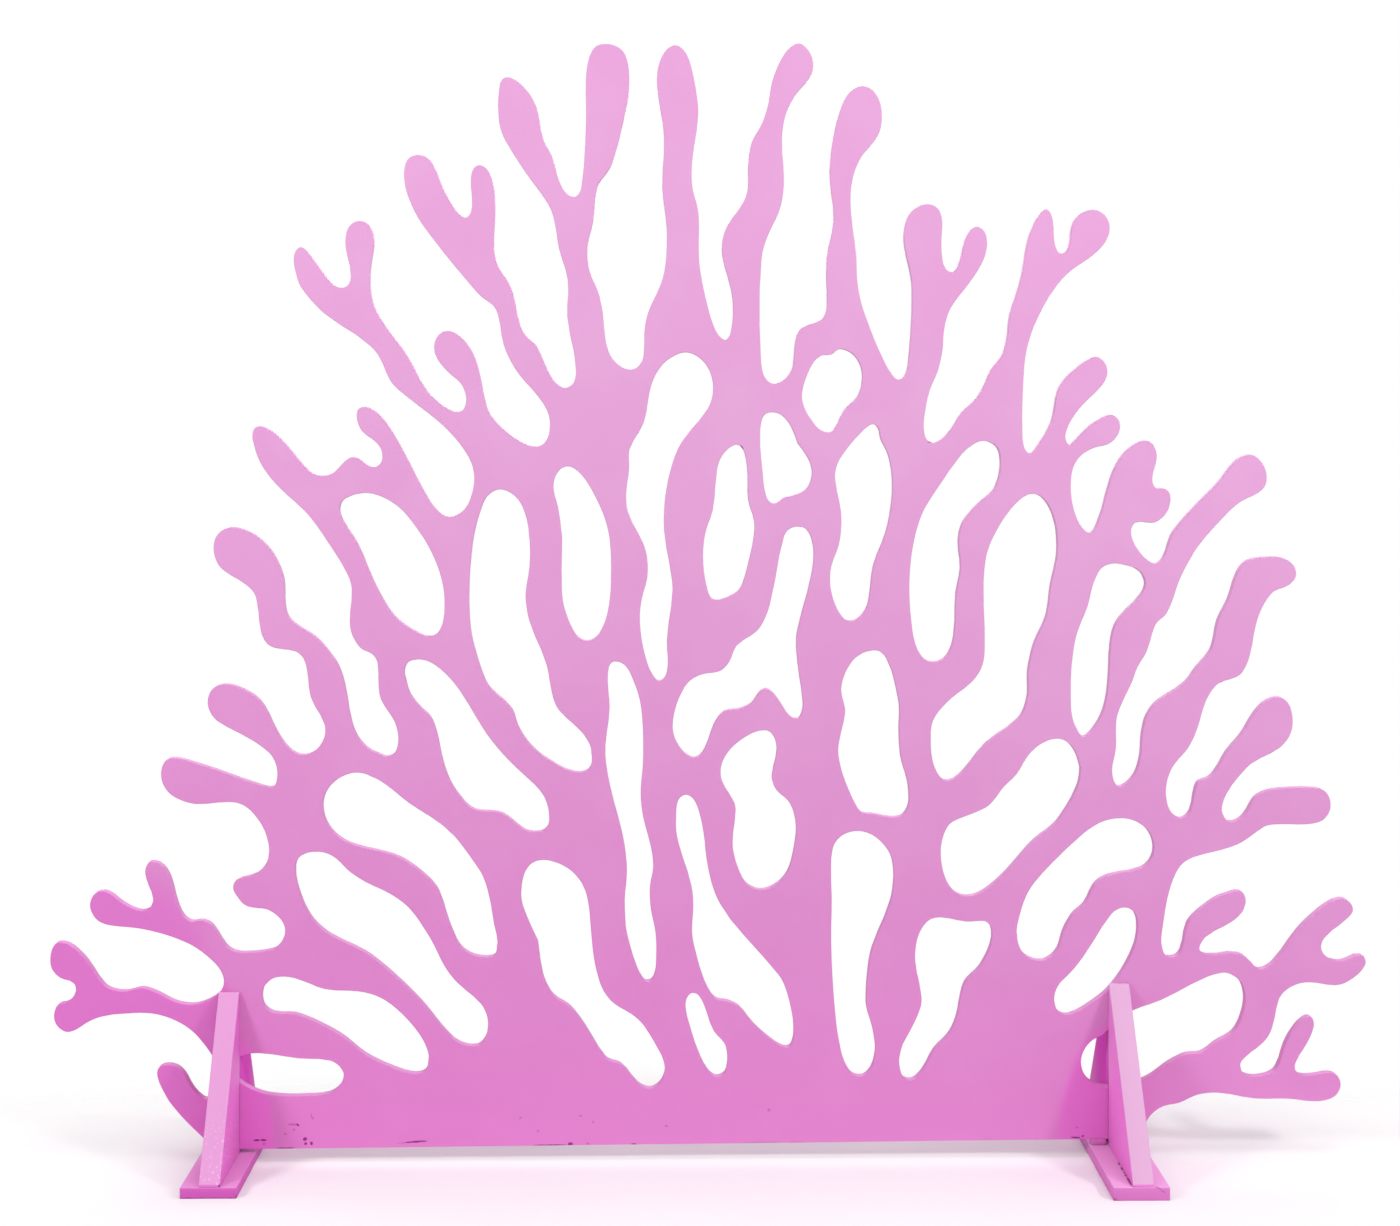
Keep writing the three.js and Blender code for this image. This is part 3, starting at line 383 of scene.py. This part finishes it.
def walk(onward):
    """Follows open edges round to their start, always by the straightest way on."""
    start = next(iter(onward))
    here, heading, loop = start, None, []
    while True:
        choices = onward[here]
        step = choices[0]
        if heading is not None:
            step = max(choices, key=lambda vert: heading.dot((vert.co - here.co).normalized()))
        choices.remove(step)
        if not choices:
            del onward[here]
        heading = (step.co - here.co).normalized()
        loop.append((step.co.x, step.co.z))
        here = step
        if here is start:
            return loop


def enclosed(loop):
    """The area inside a loop of (x, z) points."""
    pairs = zip(loop, loop[1:] + loop[:1])
    return abs(sum(a[0] * b[1] - b[0] * a[1] for a, b in pairs)) / 2


def sheet_outlines():
    """The rim and every opening of the sheet as loops of (x, z) points."""
    skin = front_skins()
    onward = defaultdict(list)
    for edge in skin.edges:
        if edge.is_boundary:
            side = edge.link_loops[0]
            onward[side.vert].append(side.link_loop_next.vert)
    loops = []
    while onward:
        loop = walk(onward)
        if enclosed(loop) > SLIVER:
            loops.append(loop)
    skin.free()
    return loops


def trace(curve, loop):
    """Lays one smooth closed line through a loop, and keeps the sawn bottom edge straight."""
    line = curve.splines.new("BEZIER")
    line.bezier_points.add(len(loop) - 1)
    line.use_cyclic_u = True
    for i, (x, z) in enumerate(loop):
        before, after = Vector(loop[i - 1]), Vector(loop[(i + 1) % len(loop)])
        reach = max((before - Vector((x, z))).length, (after - Vector((x, z))).length)
        point = line.bezier_points[i]
        point.co = (x, z, 0)
        kind = "VECTOR" if reach > LONG_STRAIGHT else "AUTO"
        point.handle_left_type = point.handle_right_type = kind


def sheet_mesh(thickness, rounding):
    """One unbroken sawn sheet with a rounded rim on both faces."""
    curve = bpy.data.curves.new("sheet_outline", "CURVE")
    curve.dimensions = "2D"
    curve.fill_mode = "BOTH"
    curve.resolution_u = 3
    curve.extrude = thickness / 2 - rounding
    curve.bevel_depth = rounding
    curve.bevel_resolution = 2
    curve.offset = -rounding - BULGE
    for loop in sheet_outlines():
        trace(curve, loop)
    flat = bpy.data.objects.new("sheet_outline", curve)
    bpy.context.scene.collection.objects.link(flat)
    bpy.context.view_layer.update()
    mesh = bpy.data.meshes.new_from_object(flat.evaluated_get(bpy.context.evaluated_depsgraph_get()))
    bpy.data.objects.remove(flat)
    solid = bmesh.new()
    solid.from_mesh(mesh)
    bmesh.ops.rotate(solid, verts=solid.verts[:], matrix=Matrix.Rotation(math.pi / 2, 3, "X"))
    bmesh.ops.remove_doubles(solid, verts=solid.verts[:], dist=SAME_POINT)
    bmesh.ops.recalc_face_normals(solid, faces=solid.faces[:])
    for face in solid.faces:
        face.smooth = abs(face.normal.y) < 0.999
    solid.to_mesh(mesh)
    solid.free()
    return mesh


def eased_copy(node, radius):
    """A CAD board with its sharp edges rounded over."""
    board = bmesh.new()
    board.from_mesh(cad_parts[node].data)
    bmesh.ops.remove_doubles(board, verts=board.verts[:], dist=SAME_POINT)
    bmesh.ops.dissolve_limit(board, angle_limit=math.radians(2), verts=board.verts[:], edges=board.edges[:])
    flats = set(board.faces)
    bmesh.ops.bevel(board, geom=board.edges[:], offset=radius, offset_type="OFFSET",
                    segments=3, profile=0.5, affect="EDGES", material=-1)
    for face in board.faces:
        face.smooth = face not in flats
    mesh = bpy.data.meshes.new(node)
    board.to_mesh(mesh)
    board.free()
    return mesh


class OBJECT_OT_fan_sheet(bpy.types.Operator):
    """Builds the sawn sea fan sheet"""

    bl_idname = "object.fan_sheet"
    bl_label = "Fan sheet"

    def execute(self, context):
        sizes = context.scene.fan_sizes
        low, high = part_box(FAN_NODES[0])
        mesh = sheet_mesh(high.y - low.y, sizes.edge_round)
        # The faces that look up, mostly the sawn rim, get a greyer mauve tone, painted in for how they
        # catch the light.
        # The sheet is painted paler towards the crown, a painted light for the light from above.
        paint, colour, place = roller_paint(
            "rolled_emulsion_on_MDF_sheet", sizes.paint_low, sizes.paint_high, UPWARD,
            ("#BE78B0", 0.7, 0.6), 0.2)
        layers = [(on_sheet(spots), tone, strength) for spots, tone, strength in SHEET_WEAR_AND_SHADE]
        set_colour(paint, wear_and_shade(paint.node_tree, colour, place, layers))
        finish_piece("fan_sheet", mesh, paint, "fan_paint", *FAN_NODES)
        return {"FINISHED"}


class OBJECT_OT_fan_braces(bpy.types.Operator):
    """Builds the four triangular braces"""

    bl_idname = "object.fan_braces"
    bl_label = "Braces"

    def execute(self, context):
        sizes = context.scene.fan_sizes
        # A pale painted sheen lies on the sloping faces, and more of it on the right.
        front, colour, place = roller_paint(
            "rolled_emulsion_on_front_brace", sizes.stand_left, sizes.stand_right, LEFT_TO_RIGHT,
            ("#C7A2BF", 0.55, 0.85), 0.2)
        # Pale painted glints on the stipple, low on the left brace.
        colour = painted_glint_flecks(front.node_tree, colour, place)
        set_colour(front, wear_and_shade(front.node_tree, colour, place, BRACE_CRACKS_AND_SHADE))
        # Behind the sheet the paint is duller, with less of the painted sheen.
        rear, colour, place = roller_paint(
            "rolled_emulsion_on_rear_brace", sizes.stand_left, sizes.stand_left, LEFT_TO_RIGHT,
            ("#C7A2BF", 0.3, 0.4), 0.1)
        # The inner sides of the rear braces get a deeper painted shade close behind the sheet.
        set_colour(rear, painted_corner_shade(rear.node_tree, colour, place, sizes.corner_shade_colour))
        for node in BRACE_NODES:
            mesh = eased_copy(node, sizes.stand_round)
            paint = front if node.endswith("front") else rear
            finish_piece(f"{node}_painted", mesh, paint, "brace_paint", node)
        return {"FINISHED"}


class OBJECT_OT_fan_feet(bpy.types.Operator):
    """Builds the two flat foot boards"""

    bl_idname = "object.fan_feet"
    bl_label = "Feet"

    def execute(self, context):
        sizes = context.scene.fan_sizes
        # A pale painted sheen lies on the faces that look up, more of it on the right.
        paint, colour, place = roller_paint(
            "rolled_emulsion_on_foot_board", sizes.foot_left, sizes.foot_right, LEFT_TO_RIGHT,
            ("#DAA2CE", 0.5, 0.7), 0.2)
        set_colour(paint, wear_and_shade(paint.node_tree, colour, place, FOOT_WEAR_AND_SHADE))
        for node in FOOT_NODES:
            mesh = eased_copy(node, sizes.stand_round)
            finish_piece(f"{node}_painted", mesh, paint, "foot_paint", node)
        return {"FINISHED"}


def studio_floor(colour):
    """A pale floor that fades into the white of the room."""
    plate = bmesh.new()
    bmesh.ops.create_circle(plate, cap_ends=True, segments=96, radius=4)
    mesh = bpy.data.meshes.new("studio_floor")
    plate.to_mesh(mesh)
    plate.free()
    material = bpy.data.materials.new("matt_pale_studio_floor")
    material.use_nodes = True
    tree = material.node_tree
    shader = tree.nodes["Principled BSDF"]
    shader.inputs["Base Color"].default_value = (*colour, 1)
    shader.inputs["Roughness"].default_value = 0.9
    # It fades out 0.25 to 0.58 m in front of the sheet and behind, and four times as far out to the sides.
    place = add_node(tree, "ShaderNodeTexCoord").outputs["Object"]
    away = add_node(tree, "ShaderNodeVectorMath", {0: place, 1: (0.25, 1.0, 0)}, operation="MULTIPLY")
    far = add_node(tree, "ShaderNodeVectorMath", {0: away.outputs[0]}, operation="LENGTH")
    fade = add_node(tree, "ShaderNodeMapRange", {
        "Value": far.outputs["Value"], "From Min": 0.58, "From Max": 0.25}, interpolation_type="SMOOTHSTEP")
    tree.links.new(fade.outputs["Result"], shader.inputs["Alpha"])
    mesh.materials.append(material)
    floor = bpy.data.objects.new("studio_floor", mesh)
    bpy.context.scene.collection.objects.link(floor)


def soft_light(name, at, towards, width, depth, power):
    """A large rectangular light that faces a point and doesn't show itself."""
    lamp = bpy.data.lights.new(name, "AREA")
    lamp.shape = "RECTANGLE"
    lamp.size = width
    lamp.size_y = depth
    lamp.energy = power
    holder = bpy.data.objects.new(name, lamp)
    holder.location = at
    holder.rotation_euler = (Vector(towards) - Vector(at)).to_track_quat("-Z", "Y").to_euler()
    holder.visible_camera = False
    bpy.context.scene.collection.objects.link(holder)


def white_room(left, right):
    """A white room: seen as white, but its left and right walls light the object as much as given."""
    world = bpy.data.worlds.new("white_room")
    world.use_nodes = True
    tree = world.node_tree
    direction = add_node(tree, "ShaderNodeTexCoord").outputs["Generated"]
    across = add_node(tree, "ShaderNodeSeparateXYZ", {0: direction})
    walls = add_node(tree, "ShaderNodeMapRange", {
        "Value": across.outputs["X"], "From Min": -1, "From Max": 1, "To Min": left, "To Max": right},
        interpolation_type="SMOOTHSTEP")
    seen = add_node(tree, "ShaderNodeLightPath").outputs["Is Camera Ray"]
    glow = add_node(tree, "ShaderNodeMapRange", {
        "Value": seen, "To Min": walls.outputs["Result"], "To Max": 1.0})
    surface = tree.nodes["Background"]
    surface.inputs["Color"].default_value = (1, 1, 1, 1)
    tree.links.new(glow.outputs["Result"], surface.inputs["Strength"])
    bpy.context.scene.world = world


class OBJECT_OT_fan_stage(bpy.types.Operator):
    """Sets the floor, the lights and the camera"""

    bl_idname = "object.fan_stage"
    bl_label = "Stage"

    def execute(self, context):
        sizes = context.scene.fan_sizes
        context.scene.view_settings.view_transform = "Standard"
        studio_floor(sizes.floor_colour)
        white_room(left=0.5, right=0.76)
        middle = (0, 0, 0.9)
        soft_light("key", (1.6, -6.6, 3.6), middle, 5.0, 3.0, sizes.key_power)
        soft_light("left_lamp", (-3.3, -2.4, 2.9), middle, 0.9, 0.9, 1.15 * sizes.side_power)
        soft_light("right_lamp", (3.0, -2.4, 2.8), middle, 0.6, 0.6, 0.9 * sizes.side_power)
        soft_light("back", (0, 5.5, 3.0), (0, 0, 0.8), 7.0, 2.0, sizes.back_power)
        soft_light("overhead", (0.5, -1.2, 7.0), (0, -0.1, 0), 5.0, 4.0, sizes.overhead_power)
        lens = bpy.data.cameras.new("camera")
        lens.lens = 54
        lens.sensor_width = 36
        lens.shift_y = -0.1564
        camera = bpy.data.objects.new("camera", lens)
        camera.location = (-0.082, -3.9011, 1.4203)
        camera.rotation_euler = (math.radians(90), 0, math.radians(-0.90))
        context.scene.collection.objects.link(camera)
        context.scene.camera = camera
        return {"FINISHED"}


class VIEW3D_PT_fan(bpy.types.Panel):
    """Sea fan sizes, colours and pieces"""

    bl_label = "Sea fan"
    bl_space_type = "VIEW_3D"
    bl_region_type = "UI"
    bl_category = "Sea fan"

    def draw(self, context):
        for name in FanSizes.__annotations__:
            self.layout.prop(context.scene.fan_sizes, name)
        for operator in OPERATORS:
            self.layout.operator(operator.bl_idname)


OPERATORS = (OBJECT_OT_fan_sheet, OBJECT_OT_fan_braces, OBJECT_OT_fan_feet, OBJECT_OT_fan_stage)
CLASSES = (FanSizes, *OPERATORS, VIEW3D_PT_fan)


def register():
    for item in CLASSES:
        bpy.utils.register_class(item)
    bpy.types.Scene.fan_sizes = bpy.props.PointerProperty(type=FanSizes)


def unregister():
    del bpy.types.Scene.fan_sizes
    for item in reversed(CLASSES):
        bpy.utils.unregister_class(item)


def main():
    register()
    bpy.ops.object.fan_sheet()
    bpy.ops.object.fan_braces()
    bpy.ops.object.fan_feet()
    bpy.ops.object.fan_stage()


if __name__ == "__main__":
    main()
